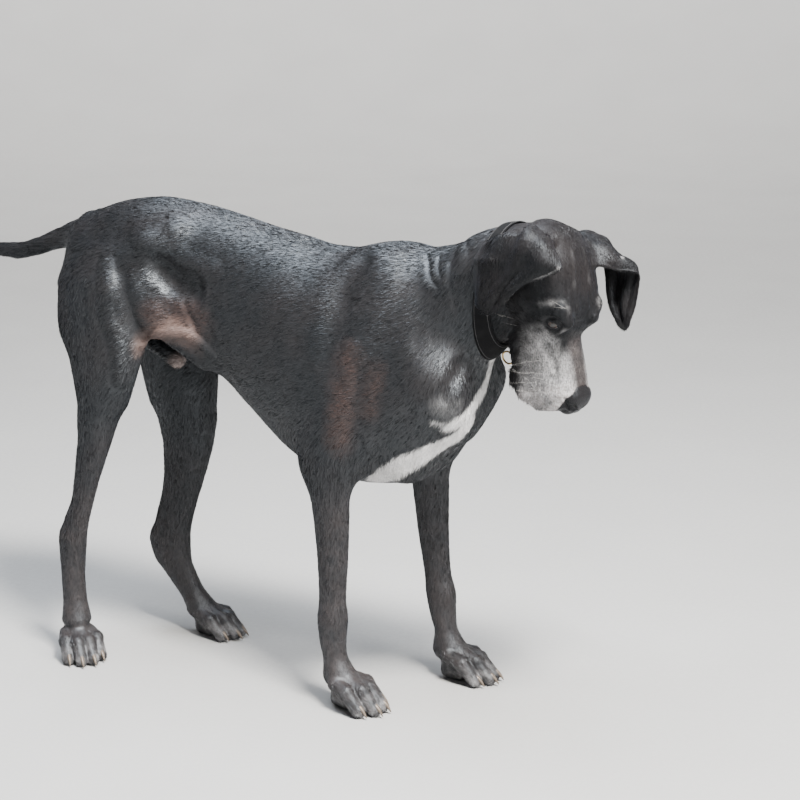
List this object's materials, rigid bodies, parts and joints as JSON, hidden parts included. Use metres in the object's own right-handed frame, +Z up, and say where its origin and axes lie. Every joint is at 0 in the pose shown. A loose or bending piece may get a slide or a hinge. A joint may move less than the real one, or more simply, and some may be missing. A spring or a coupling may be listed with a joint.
{
  "type": "great dane",
  "caption": "Life-size still model of a standing great dane with natural ears, its head lowered and turned a little to its right, wearing a plain collar.",
  "frame": {"origin": "on the floor, under the middle of the animal's box", "axes": "+X the way the body faces, +Y the animal's left, +Z up"},
  "size_m": [1.63, 0.3566, 0.9267],
  "materials": {
    "coat": "short glossy black coat",
    "eye": "wet dark brown",
    "strap": "black webbing",
    "ring": "worn"
  },
  "bodies": {
    "root": {"torso": "coat", "neck": "coat", "head": "coat", "tail": "coat", "foreleg_right": "coat", "foreleg_left": "coat", "hindleg_right": "coat", "hindleg_left": "coat", "ear_right": "coat", "ear_left": "coat", "eye_right": "eye", "eye_left": "eye", "collar": "strap", "collar_ring": "ring"}
  },
  "joints": []
}
